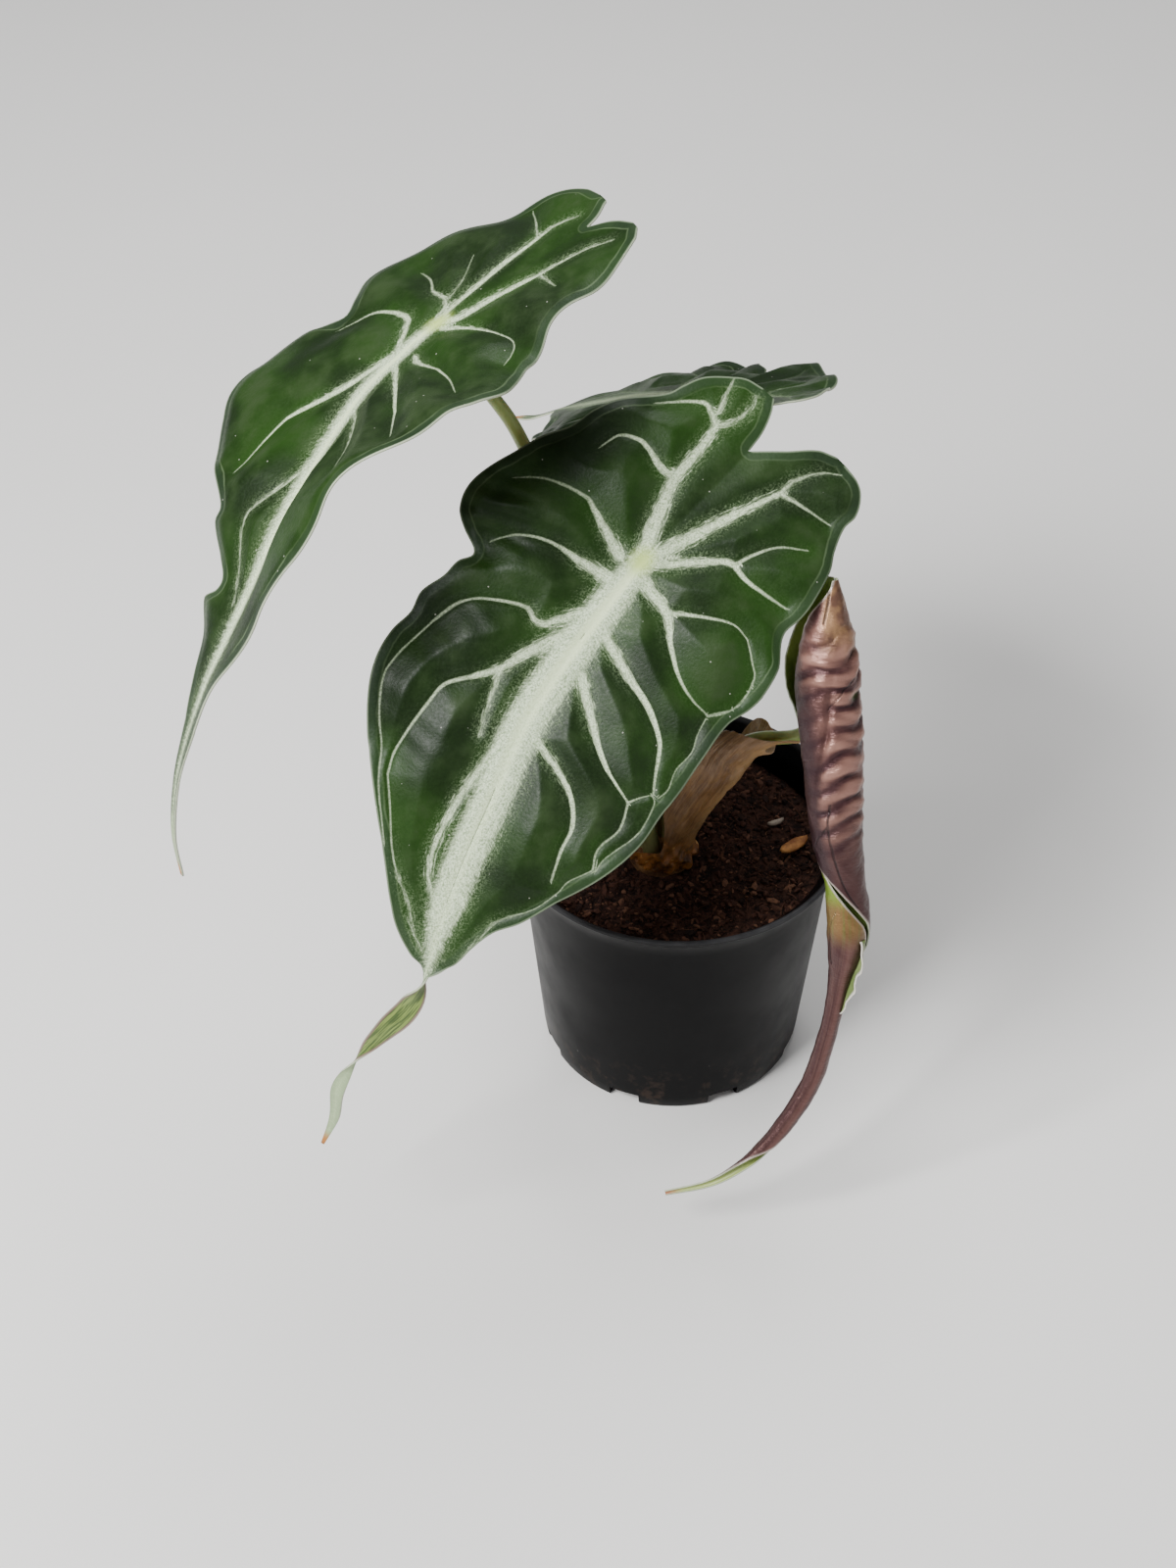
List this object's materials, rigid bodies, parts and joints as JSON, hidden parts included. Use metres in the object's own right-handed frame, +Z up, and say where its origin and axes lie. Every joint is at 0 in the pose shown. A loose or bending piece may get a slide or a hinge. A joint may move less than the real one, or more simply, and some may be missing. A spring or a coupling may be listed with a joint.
{
  "type": "potted aroid house plant",
  "caption": "Small alocasia in a tapered black nursery pot: waxy dark shield-shaped leaves with silver branching veins, one leaf still rolled, a dry papery sheath at its foot.",
  "frame": {"origin": "middle of the pot's foot, on the surface it stands on", "axes": "+Z up, -Y is the side the picture was taken from, +X to its right"},
  "size_m": [0.1538, 0.1908, 0.2256],
  "materials": {
    "pot": "black moulded plastic, satin",
    "soil": "coir and bark crumbs, matt",
    "crown": "fibrous brown plant stem, matt",
    "stalk": "pale olive green living plant stalk, satin",
    "leaf": "dark green living leaf with silver veins, waxy satin",
    "young_leaf": "mauve-brown underside of a rolled living leaf, satin",
    "sheath": "dry tan plant skin, matt",
    "chip": "loose bark chips, matt"
  },
  "bodies": {
    "root": {"pot": "pot", "soil": "soil", "crown": "crown", "petiole_left": "stalk", "petiole_front": "stalk", "petiole_rear": "stalk", "petiole_young": "stalk", "blade_left": "leaf", "blade_front": "leaf", "blade_rear": "leaf", "blade_young": "young_leaf", "sheath": "sheath", "bark_chip": "chip", "pale_chip": "chip"}
  },
  "joints": []
}
